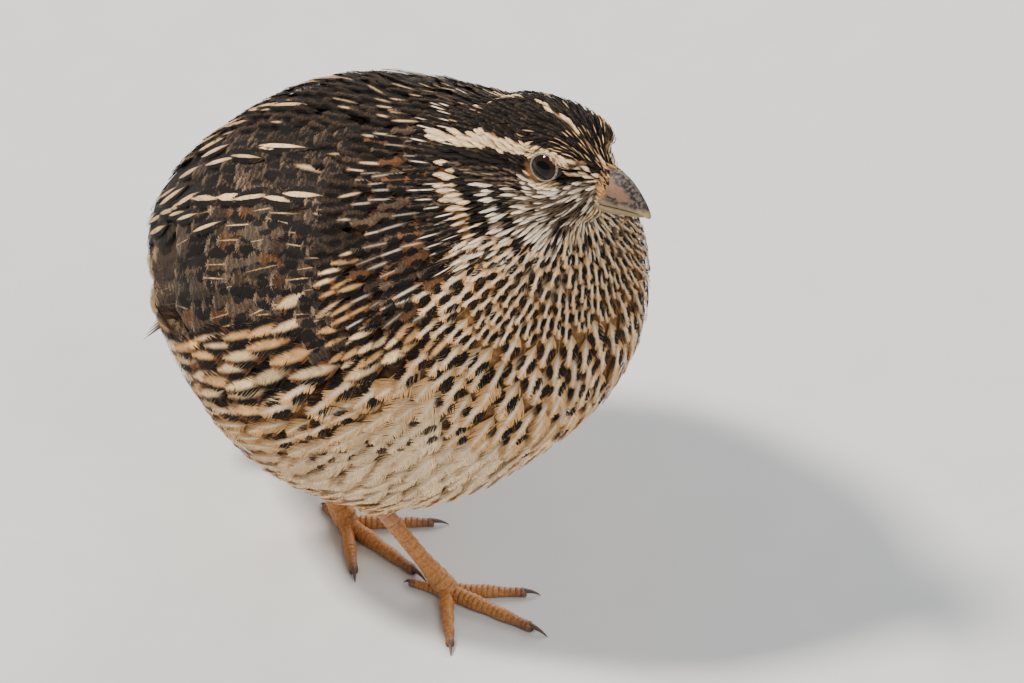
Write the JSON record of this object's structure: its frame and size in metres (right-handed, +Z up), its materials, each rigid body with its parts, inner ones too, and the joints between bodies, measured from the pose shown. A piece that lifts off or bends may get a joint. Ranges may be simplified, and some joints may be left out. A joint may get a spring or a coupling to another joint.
{
  "type": "quail",
  "caption": "Life-size standing coturnix quail, round and fluffed, with streaked brown, buff and black plumage and one foot set forward",
  "frame": {"origin": "the floor under the middle of the bird's box, on the level its toes stand on", "axes": "+X the way the bird faces, +Y to its own left, +Z up"},
  "size_m": [0.144, 0.092, 0.1421],
  "materials": {
    "plumage": "matte soft feathers with cream shafts and black spots",
    "crown_plumage": "matte fine feathers, dark with cream stripes",
    "wing_feathers": "matte vanes with a slight sheen",
    "bill_horn": "satin horn",
    "eye_dark": "wet gloss",
    "leg_skin": "satin scaled skin"
  },
  "bodies": {
    "root": {"bill_lower": "bill_horn", "bill_upper": "bill_horn", "eye_left": "eye_dark", "eye_right": "eye_dark", "head": "crown_plumage", "neck": "plumage", "shank_left": "leg_skin", "shank_right": "leg_skin", "tail": "wing_feathers", "thigh_left": "plumage", "thigh_right": "plumage", "toe_left_1": "leg_skin", "toe_left_2": "leg_skin", "toe_left_3": "leg_skin", "toe_left_4": "leg_skin", "toe_right_1": "leg_skin", "toe_right_2": "leg_skin", "toe_right_3": "leg_skin", "toe_right_4": "leg_skin", "torso": "plumage", "wing_left": "wing_feathers", "wing_right": "wing_feathers"}
  },
  "joints": []
}
